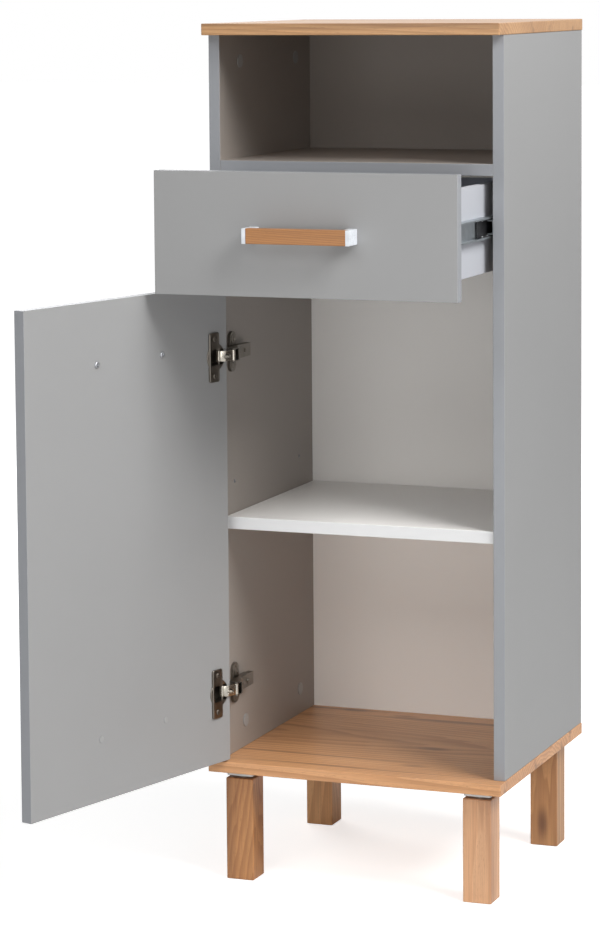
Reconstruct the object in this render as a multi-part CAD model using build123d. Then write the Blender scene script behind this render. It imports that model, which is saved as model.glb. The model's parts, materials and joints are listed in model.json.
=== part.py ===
from build123d import *
import math
import os

# Sizes are in millimetres. X runs to the cabinet's right, Y to its back and Z up.
# While it is being made the cabinet stands centred on X = 0, with the front edge of its
# top on Y = 0 and the floor on Z = 0. The last step moves it to its own origin.

# The whole cabinet
overall_width = 400.0
overall_depth = 368.0
overall_height = 1120.0

# Boards
carcass_board = 15.0
front_board = 15.0
shelf_board = 16.0
drawer_board = 12.0
thin_board = 3.0
edge_round = 0.5
oak_edge_round = 1.0

# Where the boards stand
side_inset = 1.0
front_setback = 22.0
front_air = 2.0
front_reveal = 2.5
side_reveal = 1.0
niche_height = 161.0
drawer_front_height = 154.0
back_inset = 18.0
groove_depth = 6.0
groove_air = 0.2
seat_air = 0.3

# Adjustable shelf
shelf_height = 303.0
shelf_front_gap = 4.7
shelf_side_air = 1.0
shelf_back_air = 1.5
pin_radius = 2.5
pin_hole_depth = 9.0
pin_reach = 8.0
pin_head_radius = 3.5
pin_head_reach = 1.2
pin_row_pitch = 60.0
pin_front = 60.5
pin_back = 295.0
fit_air = 0.1

# Legs
leg_side = 38.0
leg_height = 145.0
leg_inset_side = 18.0
leg_inset_front = 16.0
leg_inset_back = 21.0
leg_edge_round = 2.0
leg_foot_round = 1.2
leg_plate_side = 36.0
leg_plate_thickness = 6.7
leg_plate_round = 3.0
leg_boss_radius = 11.0
leg_boss_height = 2.6
leg_bolt_radius = 4.0
leg_bolt_in_leg = 40.0
leg_bolt_in_base = 9.0
leg_screw_offset = 13.0
leg_screw_radius = 1.6
leg_screw_head_radius = 3.0
leg_screw_head_height = 1.3
leg_screw_in_base = 10.8

# Cam fittings: the cam sits in one board and its bolt is screwed into the other
cam_radius = 7.5
cam_depth = 11.5
cam_recess = 0.5
cam_distance = 35.0
cam_front = 91.5
cam_back = 292.0
cam_cap_radius = 8.5
cam_cap_thickness = 1.0
cam_slot = 1.2
bolt_radius = 3.0
bolt_head_radius = 3.5
bolt_head_height = 4.0
bolt_reach = 10.0
dowel_radius = 4.0
dowel_in_edge = 20.0
dowel_in_face = 10.0
dowel_spacing = 36.0
hole_air = 0.25

# Drawer box
slide_air = 12.7
box_height = 111.5
box_length = 304.0
box_raise = 19.0
bottom_raise = 8.0
small_cam_radius = 6.0
small_cam_depth = 9.5
small_cam_distance = 24.0
drawer_cam_low = 25.0
drawer_cam_high = 87.0
back_screw_radius = 1.9
back_screw_head_radius = 3.6
back_screw_length = 38.0
back_screw_offset = 30.0
drawer_shown = 165.0

# Ball slides
slide_length = 300.0
slide_front_gap = 2.0
slide_height = 26.6
slide_raise = 58.0
rail_metal = 1.2
rail_reach = 9.8
rail_lip = 1.0
inner_rail_height = 18.0
inner_rail_reach = 8.0
cage_metal = 1.2
cage_length = 140.0
cage_start = 46.0
ball_radius = 1.5
ball_air = 0.05
ball_pitch = 20.0
ball_pocket_air = 0.2
slide_screw_radius = 1.9
slide_screw_head_radius = 3.4
slide_screw_head_height = 1.0
slide_screw_length = 9.5
slide_screw_places = (24.0, 150.0, 264.0)

# Handles
handle_length = 140.0
handle_height = 19.0
handle_reach = 28.0
handle_hole_spacing = 128.0
handle_bar_thickness = 12.0
handle_end_thickness = 5.0
handle_edge_round = 0.8
handle_screw_radius = 2.0
handle_screw_head_radius = 3.9
handle_screw_head_height = 2.4
handle_screw_in_post = 8.0
door_handle_drop = 78.0
plug_radius = 3.9
plug_thickness = 0.8
plug_hole_radius = 2.5
plug_hole_depth = 10.0

# Concealed hinges. The door turns by door_opening between shut and the pose shown.
door_opening = 105.0
hinge_inset = 92.0
cup_radius = 17.5
cup_depth = 11.5
cup_wall = 1.0
cup_edge_distance = 6.0
cup_rim = 0.8
flange_width = 20.0
flange_height = 64.0
flange_thickness = 3.0
flange_round = 3.0
flange_offset = 5.0
cup_screw_offset = 24.0
cup_screw_radius = 1.8
cup_screw_head_radius = 3.6
cup_screw_head_height = 1.4
cup_screw_length = 11.0
swing_centre_in = 8.0
swing_centre_proud = 2.7
cup_pin_from_edge = 12.0
cup_pin_depth = 3.6
cup_pin_radius = 1.4
cup_pin_length = 24.0
arm_pin_distance = 28.0
arm_pin_radius = 1.5
inner_pin_x = -6.5
inner_pin_y = 2.9
link_width = 14.0
link_thickness = 1.5
link_slot_width = 7.0
link_cup_eye = 2.3
link_arm_eye = 2.4
inner_link_width = 8.0
inner_link_reach = 7.6
inner_link_eye = 2.1
arm_air = 0.3
arm_metal = 1.3
arm_nose_radius = 2.4
arm_nose_height = 22.0
arm_tail_height = 13.6
arm_skirt = 6.5
arm_length = 74.0
arm_flat = 16.0
arm_slope = 10.0
arm_screw_radius = 2.8
arm_screw_height = 1.4
arm_screw_front = 34.0
arm_screw_back = 54.0
plate_setback = 28.0
plate_height = 53.0
plate_width = 20.0
plate_thickness = 4.0
plate_boss_radius = 6.5
plate_boss_height = 4.8
plate_screw_offset = 16.0
plate_screw_radius = 1.9
plate_screw_head_radius = 3.4
plate_screw_head_height = 1.6
plate_screw_length = 11.0
saddle_width = 13.4
saddle_length = 40.0
saddle_ahead = 4.0
running_air = 0.05

# Worked out from the sizes above
base_top = leg_height + carcass_board
top_under = overall_height - carcass_board
side_outer = overall_width / 2 - side_inset
side_inner = side_outer - carcass_board
niche_floor = top_under - niche_height
niche_under = niche_floor - carcass_board
back_plane = overall_depth - back_inset - thin_board
front_back_face = front_setback - front_air
front_face = front_back_face - front_board
front_width = 2 * (side_outer - side_reveal)
drawer_front_top = niche_floor - front_reveal
drawer_front_bottom = drawer_front_top - drawer_front_height
door_bottom = base_top + front_reveal
door_top = drawer_front_bottom - front_reveal
leg_top = leg_height - leg_plate_thickness - leg_boss_height - seat_air
door_edge = -front_width / 2
shelf_under = base_top + shelf_height
box_outer = side_inner - slide_air
box_bottom = drawer_front_bottom + box_raise
box_back = front_back_face + box_length
slide_z = box_bottom + slide_raise
slide_front = front_setback + slide_front_gap
hinge_heights = {"upper": door_top - hinge_inset, "lower": door_bottom + hinge_inset}
side_signs = {"left": -1, "right": 1}


def block(x0, x1, y0, y1, z0, z1):
    """A plain box between two corners."""
    low = (Align.MIN, Align.MIN, Align.MIN)
    return Pos(x0, y0, z0) * Box(x1 - x0, y1 - y0, z1 - z0, align=low)


def board(x0, x1, y0, y1, z0, z1, radius=edge_round):
    """A box with all its edges eased."""
    plain = block(x0, x1, y0, y1, z0, z1)
    return fillet(plain.edges(), radius)


def rod(start, direction, radius, length):
    """A round bar from a start point."""
    place = Plane(origin=start, z_dir=direction)
    return place * Cylinder(radius, length, align=(Align.CENTER, Align.CENTER, Align.MIN))


def cut(shape, cutters):
    """The shape with every cutter taken out of it."""
    for cutter in cutters:
        shape = shape - cutter
    return shape


def screw(start, direction, radius, length, head_radius, head_height):
    """A screw with a low round head that stands on its start point, and a cross in the head."""
    place = Plane(origin=start, z_dir=direction)
    shank = place * Cylinder(radius, length, align=(Align.CENTER, Align.CENTER, Align.MIN))
    head = Cylinder(head_radius, head_height, align=(Align.CENTER, Align.CENTER, Align.MAX))
    crown = head.edges().sort_by(Axis.Z)[0]
    head = fillet(crown, head_height * 0.45)
    slot = Box(head_radius * 1.1, head_radius * 0.28, head_height, align=(Align.CENTER,) * 3)
    slot_place = Pos(0, 0, -head_height)
    head = head - slot_place * slot - slot_place * Rot(0, 0, 90) * slot
    return shank + place * head


# Joints between carcass boards

class CamJoint:
    """A cam, its bolt and their holes, seen from the face where two boards meet."""

    def __init__(self, origin, into_edge, to_cam_face, board_thickness, radius, depth, distance):
        self.place = Plane(origin=origin, x_dir=to_cam_face, z_dir=into_edge)
        self.face = board_thickness / 2
        self.radius = radius
        self.depth = depth
        self.distance = distance

    def cam_rod(self, radius, low, high):
        start = Plane(origin=(low, 0, self.distance), z_dir=(1, 0, 0))
        bar = Cylinder(radius, high - low, align=(Align.CENTER, Align.CENTER, Align.MIN))
        return self.place * (start * bar)

    def bolt_rod(self, radius, low, high):
        bar = Cylinder(radius, high - low, align=(Align.CENTER, Align.CENTER, Align.MIN))
        return self.place * (Pos(0, 0, low) * bar)

    def cam(self):
        top = self.face - cam_recess
        housing = self.cam_rod(self.radius, top - self.depth, top)
        reach = self.distance + bolt_head_height / 2 + hole_air
        channel = self.bolt_rod(bolt_head_radius + hole_air, 0, reach)
        slot = Box(cam_slot, self.radius, cam_slot, align=(Align.MAX, Align.CENTER, Align.CENTER))
        return housing - channel - self.place * (Pos(top, 0, self.distance) * slot)

    def bolt(self):
        neck = self.distance - bolt_head_height / 2
        shank = self.bolt_rod(bolt_radius, -bolt_reach, neck)
        return shank + self.bolt_rod(bolt_head_radius, neck, neck + bolt_head_height)

    def cap(self):
        stem_top = self.face - cam_recess + seat_air
        disc = self.cam_rod(cam_cap_radius, self.face, self.face + cam_cap_thickness)
        return disc + self.cam_rod(self.radius - 1, stem_top, self.face)

    def edge_holes(self):
        deep = self.face - cam_recess - self.depth - hole_air
        reach = self.distance + self.radius / 2
        bore = self.bolt_rod(bolt_head_radius + hole_air, -1, reach)
        return [self.cam_rod(self.radius + hole_air, deep, self.face + 1), bore]

    def face_holes(self):
        return [self.bolt_rod(bolt_radius + fit_air, -bolt_reach - hole_air, 1)]


class DowelJoint:
    """A wooden dowel across the face where two boards meet."""

    def __init__(self, origin, into_edge):
        self.place = Plane(origin=origin, z_dir=into_edge)

    def round_bar(self, radius, low, high):
        bar = Cylinder(radius, high - low, align=(Align.CENTER, Align.CENTER, Align.MIN))
        return self.place * (Pos(0, 0, low) * bar)

    def dowel(self):
        return self.round_bar(dowel_radius, -dowel_in_face, dowel_in_edge)

    def edge_holes(self):
        return [self.round_bar(dowel_radius + fit_air, -1, dowel_in_edge + hole_air)]

    def face_holes(self):
        return [self.round_bar(dowel_radius + fit_air, -dowel_in_face - hole_air, 1)]


def carcass_cam(origin, into_edge, to_cam_face):
    return CamJoint(origin, into_edge, to_cam_face, carcass_board, cam_radius, cam_depth, cam_distance)


side_middle = side_outer - carcass_board / 2
shelf_middle = niche_floor - carcass_board / 2
cam_rows = (cam_front, cam_back)
dowel_rows = (cam_front - dowel_spacing, cam_back + dowel_spacing)
end_joints = {}
for side, sign in side_signs.items():
    inward = (-sign, 0, 0)
    end_joints[side, "top"] = [
        carcass_cam((sign * side_middle, y, top_under), (0, 0, -1), inward) for y in cam_rows
    ] + [DowelJoint((sign * side_middle, y, top_under), (0, 0, -1)) for y in dowel_rows]
    end_joints[side, "base"] = [
        carcass_cam((sign * side_middle, y, base_top), (0, 0, 1), inward) for y in cam_rows
    ] + [DowelJoint((sign * side_middle, y, base_top), (0, 0, 1)) for y in dowel_rows]
    end_joints[side, "shelf"] = [
        carcass_cam((sign * side_inner, y, shelf_middle), inward, (0, 0, -1)) for y in cam_rows
    ] + [DowelJoint((sign * side_inner, y, shelf_middle), inward) for y in dowel_rows]


def joints_at(*places):
    return [joint for key, group in end_joints.items() if key[1] in places for joint in group]


def top_panel():
    half = overall_width / 2
    panel = board(-half, half, 0, overall_depth, top_under, overall_height, oak_edge_round)
    return cut(panel, [hole for joint in joints_at("top") for hole in joint.face_holes()])


# Legs

def leg_centres():
    near = leg_inset_front + leg_side / 2
    far = overall_depth - leg_inset_back - leg_side / 2
    out = overall_width / 2 - leg_inset_side - leg_side / 2
    places = {}
    for row, y in (("front", near), ("back", far)):
        for side, sign in side_signs.items():
            places[row, side] = (sign * out, y)
    return places


def leg_screw_places(x, y):
    step = leg_screw_offset
    return [(x + dx, y + dy) for dx in (-step, step) for dy in (-step, step)]


def leg_screw(x, y):
    seat = leg_height - leg_plate_thickness + leg_screw_head_height
    length = leg_height - seat + leg_screw_in_base
    return screw((x, y, seat), (0, 0, 1), leg_screw_radius, length,
                 leg_screw_head_radius, leg_screw_head_height)


def base_panel():
    half = overall_width / 2
    panel = board(-half, half, 0, overall_depth, leg_height, base_top, oak_edge_round)
    holes = [hole for joint in joints_at("base") for hole in joint.face_holes()]
    for x, y in leg_centres().values():
        depth = leg_bolt_in_base + hole_air
        holes.append(rod((x, y, leg_height - 1), (0, 0, 1), leg_bolt_radius + hole_air, depth + 1))
        for sx, sy in leg_screw_places(x, y):
            holes.append(rod((sx, sy, leg_height - 1), (0, 0, 1),
                             leg_screw_radius + fit_air, leg_screw_in_base + hole_air + 1))
    return cut(panel, holes)


def leg(x, y):
    half = leg_side / 2
    post = block(x - half, x + half, y - half, y + half, 0, leg_top)
    post = fillet(post.edges().filter_by(Axis.Z), leg_edge_round)
    post = fillet(post.edges().group_by(Axis.Z)[-1], leg_edge_round)
    post = fillet(post.edges().group_by(Axis.Z)[0], leg_foot_round)
    bore = rod((x, y, leg_top - leg_bolt_in_leg - hole_air), (0, 0, 1),
               leg_bolt_radius + fit_air, leg_bolt_in_leg + 2)
    return post - bore


def leg_plate(x, y):
    half = leg_plate_side / 2
    low = leg_height - leg_plate_thickness
    plate = block(x - half, x + half, y - half, y + half, low, leg_height)
    plate = fillet(plate.edges().filter_by(Axis.Z), leg_plate_round)
    boss_low = low - leg_boss_height
    plate = plate + rod((x, y, boss_low), (0, 0, 1), leg_boss_radius, leg_boss_height + 1)
    holes = [rod((x, y, boss_low - 1), (0, 0, 1), leg_bolt_radius + fit_air, leg_height - boss_low + 2)]
    for sx, sy in leg_screw_places(x, y):
        holes.append(rod((sx, sy, low - 1), (0, 0, 1), leg_screw_radius + fit_air, leg_plate_thickness + 2))
        holes.append(rod((sx, sy, low - 1), (0, 0, 1),
                         leg_screw_head_radius + fit_air, 1 + leg_screw_head_height))
    return cut(plate, holes)


def leg_bolt(x, y):
    low = leg_top - leg_bolt_in_leg
    return rod((x, y, low), (0, 0, 1), leg_bolt_radius, leg_height + leg_bolt_in_base - low)


# Sides, shelves and backs

def pin_heights():
    pin_z = shelf_under - pin_radius
    return (pin_z, pin_z + pin_row_pitch)


def hinge_plate_y():
    return front_setback + plate_setback


def slide_screw_points(sign, x):
    return [(sign * x, slide_front + place, slide_z) for place in slide_screw_places]


def side_panel(side):
    sign = side_signs[side]
    x0, x1 = sorted((sign * side_inner, sign * side_outer))
    panel = board(x0, x1, front_setback, overall_depth, base_top, top_under)
    inward = (-sign, 0, 0)
    outward = (sign, 0, 0)
    holes = [hole for joint in end_joints[side, "top"] for hole in joint.edge_holes()]
    holes += [hole for joint in end_joints[side, "base"] for hole in joint.edge_holes()]
    holes += [hole for joint in end_joints[side, "shelf"] for hole in joint.face_holes()]
    groove_end = side_inner + groove_depth
    g0, g1 = sorted((sign * (side_inner - 1), sign * groove_end))
    holes.append(block(g0, g1, back_plane - groove_air, back_plane + thin_board + groove_air,
                       base_top - 1, top_under + 1))
    for y in (pin_front, pin_back):
        for z in pin_heights():
            start = (sign * (side_inner - 1), y, z)
            holes.append(rod(start, outward, pin_radius + fit_air, pin_hole_depth + 1))
    for point in slide_screw_points(sign, side_inner - 1):
        holes.append(rod(point, outward, slide_screw_radius + fit_air, slide_screw_length + 1 + hole_air))
    if side == "left":
        for hinge_z in hinge_heights.values():
            for dz in (-plate_screw_offset, plate_screw_offset):
                start = (-side_inner + 1, hinge_plate_y(), hinge_z + dz)
                holes.append(rod(start, outward, plate_screw_radius + fit_air, plate_screw_length + 1))
    return cut(panel, holes)


def niche_shelf():
    end = side_inner - seat_air / 10
    shelf = board(-end, end, front_setback, back_plane - seat_air, niche_under, niche_floor)
    return cut(shelf, [hole for joint in joints_at("shelf") for hole in joint.edge_holes()])


def back_board(low, high):
    end = side_inner + groove_depth - seat_air
    return block(-end, end, back_plane, back_plane + thin_board, low, high)


def lower_back_panel():
    return back_board(base_top, shelf_middle - seat_air / 2)


def niche_back_panel():
    return back_board(shelf_middle + seat_air / 2, top_under)


def adjustable_shelf():
    end = side_inner - shelf_side_air
    return board(-end, end, front_setback + shelf_front_gap, back_plane - shelf_back_air,
                 shelf_under, shelf_under + shelf_board)


def shelf_pin(sign, y):
    z = pin_heights()[0]
    stem = rod((sign * (side_inner + pin_reach), y, z), (-sign, 0, 0), pin_radius, 2 * pin_reach)
    collar = rod((sign * side_inner, y, z), (-sign, 0, 0), pin_head_radius, pin_head_reach)
    x0, x1 = sorted((sign * side_inner, sign * (side_inner - 2 * pin_head_radius)))
    above = block(x0, x1, y - pin_head_radius, y + pin_head_radius, z + pin_radius, z + 2 * pin_head_radius)
    return stem + collar - above


# Drawer, drawn shut and then pulled out

small_cam_rows = (box_bottom + drawer_cam_low, box_bottom + drawer_cam_high)
drawer_joints = {}
for side, sign in side_signs.items():
    middle = sign * (box_outer - drawer_board / 2)
    drawer_joints[side] = [
        CamJoint((middle, front_back_face, z), (0, 1, 0), (-sign, 0, 0),
                 drawer_board, small_cam_radius, small_cam_depth, small_cam_distance)
        for z in small_cam_rows
    ]


def drawer_bottom_z():
    return box_bottom + bottom_raise


def handle_screw_points(centre_x, z, y):
    half = handle_hole_spacing / 2
    return [(centre_x - half, y, z), (centre_x + half, y, z)]


def drawer_handle_z():
    return (drawer_front_top + drawer_front_bottom) / 2


def front_groove():
    end = box_outer - drawer_board + groove_depth
    low = drawer_bottom_z() - groove_air
    return block(-end, end, front_back_face - groove_depth, front_back_face + 1,
                 low, low + thin_board + 2 * groove_air)


def drawer_front():
    half = front_width / 2
    panel = board(-half, half, front_face, front_back_face, drawer_front_bottom, drawer_front_top)
    holes = [hole for group in drawer_joints.values() for joint in group for hole in joint.face_holes()]
    holes.append(front_groove())
    for point in handle_screw_points(0, drawer_handle_z(), front_face - 1):
        holes.append(rod(point, (0, 1, 0), handle_screw_radius + hole_air, front_board + 2))
    return cut(panel, holes)


def back_screw_heights():
    middle = (drawer_bottom_z() + thin_board + box_bottom + box_height) / 2
    return (middle - back_screw_offset, middle + back_screw_offset)


def back_screw_y():
    return box_back - drawer_board / 2


def drawer_side(side):
    sign = side_signs[side]
    inner = box_outer - drawer_board
    x0, x1 = sorted((sign * inner, sign * box_outer))
    panel = board(x0, x1, front_back_face, box_back, box_bottom, box_bottom + box_height)
    holes = [hole for joint in drawer_joints[side] for hole in joint.edge_holes()]
    g0, g1 = sorted((sign * (inner - 1), sign * (inner + groove_depth)))
    low = drawer_bottom_z() - groove_air
    holes.append(block(g0, g1, front_back_face - 1, box_back + 1, low, low + thin_board + 2 * groove_air))
    inward = (-sign, 0, 0)
    for z in back_screw_heights():
        start = (sign * (box_outer + 1), back_screw_y(), z)
        holes.append(rod(start, inward, back_screw_radius + fit_air, drawer_board + 2))
        holes.append(rod(start, inward, back_screw_head_radius + fit_air, 1 + slide_screw_head_height))
    for point in slide_screw_points(sign, box_outer + 1):
        holes.append(rod(point, inward, slide_screw_radius + fit_air, slide_screw_length + 1 + hole_air))
    return cut(panel, holes)


def drawer_back():
    end = box_outer - drawer_board - seat_air / 10
    low = drawer_bottom_z() + thin_board + seat_air
    panel = board(-end, end, box_back - drawer_board, box_back, low, box_bottom + box_height)
    holes = []
    for sign in side_signs.values():
        for z in back_screw_heights():
            depth = back_screw_length - drawer_board + hole_air
            start = (sign * (end + 1), back_screw_y(), z)
            holes.append(rod(start, (-sign, 0, 0), back_screw_radius + fit_air, depth + 1))
    return cut(panel, holes)


def drawer_bottom():
    end = box_outer - drawer_board + groove_depth - seat_air
    low = drawer_bottom_z()
    return block(-end, end, front_back_face - groove_depth + seat_air, box_back, low, low + thin_board)


def drawer_back_screw(sign, z):
    start = (sign * (box_outer - slide_screw_head_height), back_screw_y(), z)
    return screw(start, (-sign, 0, 0), back_screw_radius, back_screw_length - slide_screw_head_height,
                 back_screw_head_radius, slide_screw_head_height)


# Handles, made for a front whose outer face looks along -Y

def handle_bar(centre_x, z):
    half = handle_length / 2 - handle_end_thickness - seat_air / 10
    front = front_face - handle_reach
    return board(centre_x - half, centre_x + half, front, front + handle_bar_thickness,
                 z - handle_height / 2, z + handle_height / 2, handle_edge_round)


def handle_post(centre_x, z, sign):
    outer = handle_length / 2
    foot = 2 * (outer - handle_hole_spacing / 2)
    x0, x1 = sorted((centre_x + sign * (outer - foot), centre_x + sign * outer))
    front = front_face - handle_reach
    post = block(x0, x1, front, front_face, z - handle_height / 2, z + handle_height / 2)
    post = fillet(post.edges().filter_by(Axis.Y), handle_edge_round)
    r0, r1 = sorted((centre_x + sign * (outer - foot - 1), centre_x + sign * (outer - handle_end_thickness)))
    rebate = block(r0, r1, front - 1, front + handle_bar_thickness + seat_air / 10,
                   z - handle_height, z + handle_height)
    hole = rod((centre_x + sign * handle_hole_spacing / 2, front_face + 1, z), (0, -1, 0),
               handle_screw_radius + fit_air, handle_screw_in_post + 1 + hole_air)
    return post - rebate - hole


def handle_screws(centre_x, z):
    length = front_board + handle_screw_in_post
    return [
        screw(point, (0, -1, 0), handle_screw_radius, length, handle_screw_head_radius, handle_screw_head_height)
        for point in handle_screw_points(centre_x, z, front_back_face)
    ]


# Ball slides, drawn shut

def rail_block(sign, x0, x1, y0, y1, z0, z1):
    low, high = sorted((sign * x0, sign * x1))
    return block(low, high, y0, y1, z0, z1)


def drawer_rail(side):
    sign = side_signs[side]
    back = slide_front + slide_length
    half = slide_height / 2
    web = box_outer + rail_metal
    tip = box_outer + rail_reach
    rail = rail_block(sign, box_outer, web, slide_front, back, slide_z - half, slide_z + half)
    for up in (-1, 1):
        z0, z1 = sorted((slide_z + up * (half - rail_metal), slide_z + up * half))
        rail = rail + rail_block(sign, web, tip, slide_front, back, z0, z1)
        z0, z1 = sorted((slide_z + up * (half - rail_metal - rail_lip), slide_z + up * (half - rail_metal)))
        rail = rail + rail_block(sign, tip - rail_metal, tip, slide_front, back, z0, z1)
    holes = []
    for point in slide_screw_points(sign, web + 1):
        holes.append(rod(point, (-sign, 0, 0), slide_screw_radius + fit_air, rail_metal + 2))
        holes.append(rod(point, (-sign, 0, 0), slide_screw_head_radius + fit_air, 1 + slide_screw_head_height))
    return cut(rail, holes)


def cabinet_rail(side):
    sign = side_signs[side]
    back = slide_front + slide_length
    half = inner_rail_height / 2
    web = side_inner - rail_metal
    tip = side_inner - inner_rail_reach
    rail = rail_block(sign, web, side_inner, slide_front, back, slide_z - half, slide_z + half)
    for up in (-1, 1):
        z0, z1 = sorted((slide_z + up * (half - rail_metal), slide_z + up * half))
        rail = rail + rail_block(sign, tip, web, slide_front, back, z0, z1)
    holes = []
    for point in slide_screw_points(sign, web - 1):
        holes.append(rod(point, (sign, 0, 0), slide_screw_radius + fit_air, rail_metal + 2))
    return cut(rail, holes)


def cabinet_rail_screws(sign):
    seat = side_inner - rail_metal
    return [
        screw(point, (sign, 0, 0), slide_screw_radius, slide_screw_length + rail_metal,
              slide_screw_head_radius, slide_screw_head_height)
        for point in slide_screw_points(sign, seat)
    ]


def drawer_rail_screws(sign):
    seat = box_outer + rail_metal - slide_screw_head_height
    return [
        screw(point, (-sign, 0, 0), slide_screw_radius, slide_screw_length,
              slide_screw_head_radius, slide_screw_head_height)
        for point in slide_screw_points(sign, seat)
    ]


def ball_row_z():
    outer = slide_height / 2 - rail_metal
    inner = inner_rail_height / 2
    return (outer + inner) / 2


def ball_x():
    return side_inner - inner_rail_reach + rail_metal + ball_radius / 2


def ball_places():
    first = slide_front + cage_start + ball_pitch / 2
    return [first + ball_pitch * step for step in range(int(cage_length // ball_pitch))]


def slide_cage(side):
    sign = side_signs[side]
    y0 = slide_front + cage_start
    y1 = y0 + cage_length
    web = box_outer + rail_metal + 2 * seat_air
    tip = ball_x() + ball_radius + seat_air
    middle = ball_row_z()
    half = middle + cage_metal / 2
    cage = rail_block(sign, web, web + cage_metal, y0, y1, slide_z - half, slide_z + half)
    pockets = []
    for up in (-1, 1):
        z0 = slide_z + up * middle - cage_metal / 2
        cage = cage + rail_block(sign, web, tip, y0, y1, z0, z0 + cage_metal)
        for y in ball_places():
            start = (sign * ball_x(), y, z0 - 1)
            pockets.append(rod(start, (0, 0, 1), ball_radius + ball_pocket_air, cage_metal + 2))
    return cut(cage, pockets)


def slide_ball_set(sign):
    balls = []
    for up in (-1, 1):
        for y in ball_places():
            balls.append(Pos(sign * ball_x(), y, slide_z + up * ball_row_z()) * Sphere(fitted_ball_radius()))
    return balls


def fitted_ball_radius():
    gap = slide_height / 2 - rail_metal - inner_rail_height / 2
    return min(ball_radius, gap / 2 - ball_air)


# Concealed hinges. Shut, the swing centre lies just outside the door's hinge corner, and a
# quarter turn and a bit about it carries the door from shut to the pose shown.

swing_centre = Vector(door_edge + swing_centre_in, front_face - swing_centre_proud, 0)


def polar(centre, radius, degrees):
    angle = math.radians(degrees)
    return centre + Vector(radius * math.cos(angle), radius * math.sin(angle), 0)


def bearing(vector):
    return math.degrees(math.atan2(vector.Y, vector.X))


def swing_open(shape):
    """Carry a piece of the shut door to the pose shown."""
    centre = Pos(swing_centre.X, swing_centre.Y, 0)
    return centre * Rot(0, 0, -door_opening) * centre.inverse() * shape


def seen_from_door(point):
    """Where a fixed point lies beside the shut door's drawing while the door stands open."""
    offset = point - swing_centre
    return polar(swing_centre, offset.length, bearing(offset) + door_opening)


cup_pin_shut = Vector(door_edge + cup_pin_from_edge, front_back_face - cup_pin_depth, 0)
cup_pin_bearing = bearing(cup_pin_shut - swing_centre)
cup_pin_shown = polar(swing_centre, (cup_pin_shut - swing_centre).length, cup_pin_bearing - door_opening)
arm_pin = polar(swing_centre, arm_pin_distance, cup_pin_bearing - door_opening / 2)
inner_pin = arm_pin + Vector(inner_pin_x, inner_pin_y, 0)
link_swing = (bearing(cup_pin_shown - arm_pin) - bearing(cup_pin_shut - arm_pin)) % 360
cup_centre_x = door_edge + cup_edge_distance + cup_radius


def door_panel():
    half = front_width / 2
    panel = board(-half, half, front_face, front_back_face, door_bottom, door_top)
    holes = []
    for z in hinge_heights.values():
        start = (cup_centre_x, front_back_face + 1, z)
        holes.append(rod(start, (0, -1, 0), cup_radius + hole_air, cup_depth + 1 + hole_air))
        for dz in (-cup_screw_offset, cup_screw_offset):
            start = (cup_centre_x + flange_offset, front_back_face + 1, z + dz)
            holes.append(rod(start, (0, -1, 0), cup_screw_radius + fit_air, cup_screw_length + 1))
    for point in handle_screw_points(0, door_handle_z(), front_face - 1):
        holes.append(rod(point, (0, 1, 0), handle_screw_radius + hole_air, front_board + 2))
    for point in handle_screw_points(0, spare_hole_z(), front_back_face + 1):
        holes.append(rod(point, (0, -1, 0), plug_hole_radius + fit_air, plug_hole_depth + 1))
    return cut(panel, holes)


def door_handle_z():
    return door_top - door_handle_drop


def spare_hole_z():
    return door_bottom + door_handle_drop


def hole_plug(point):
    disc = rod(point, (0, 1, 0), plug_radius, plug_thickness)
    return disc + rod(point, (0, -1, 0), plug_hole_radius, plug_hole_depth - hole_air)


def hinge_cup(z):
    face = front_back_face
    flange_middle = cup_centre_x + flange_offset
    plate = block(flange_middle - flange_width / 2, flange_middle + flange_width / 2,
                  face, face + flange_thickness, z - flange_height / 2, z + flange_height / 2)
    plate = fillet(plate.edges().filter_by(Axis.Y), flange_round)
    rim = rod((cup_centre_x, face, z), (0, 1, 0), cup_radius + cup_wall / 2, cup_rim)
    cup = rod((cup_centre_x, face - cup_depth, z), (0, 1, 0), cup_radius, cup_depth)
    bore = cup_radius - cup_wall
    hollow = rod((cup_centre_x, face - cup_depth + cup_wall, z), (0, 1, 0), bore, cup_depth + 2)
    holes = [hollow]
    for dz in (-cup_screw_offset, cup_screw_offset):
        start = (flange_middle, face - 1, z + dz)
        holes.append(rod(start, (0, 1, 0), cup_screw_radius + fit_air, flange_thickness + 2))
    pin_start = (cup_pin_shut.X, cup_pin_shut.Y, z - cup_pin_length / 2 - 1)
    holes.append(rod(pin_start, (0, 0, 1), cup_pin_radius + running_air, cup_pin_length + 2))
    return cut(plate + rim + cup, holes)


def cup_pin(z):
    start = (cup_pin_shut.X, cup_pin_shut.Y, z - cup_pin_length / 2)
    return rod(start, (0, 0, 1), cup_pin_radius, cup_pin_length)


def cup_screws(z):
    seat = front_back_face + flange_thickness
    return [
        screw((cup_centre_x + flange_offset, seat, z + dz), (0, -1, 0), cup_screw_radius,
              cup_screw_length + flange_thickness - hole_air, cup_screw_head_radius, cup_screw_head_height)
        for dz in (-cup_screw_offset, cup_screw_offset)
    ]


def strip_outline(points, thickness):
    """A bent strip in plan, round at its corners."""
    outline = None
    for start, end in zip(points, points[1:]):
        run = end - start
        middle = (start + end) * 0.5
        piece = Pos(middle.X, middle.Y) * Rot(0, 0, bearing(run)) * Rectangle(run.length, thickness)
        piece = piece + Pos(end.X, end.Y) * Circle(thickness / 2)
        outline = piece if outline is None else outline + piece
    return outline


def upright(outline, z, height):
    """An outline in plan made into a solid centred on a height."""
    return extrude(Pos(0, 0, z - height / 2) * outline, height)


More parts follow.
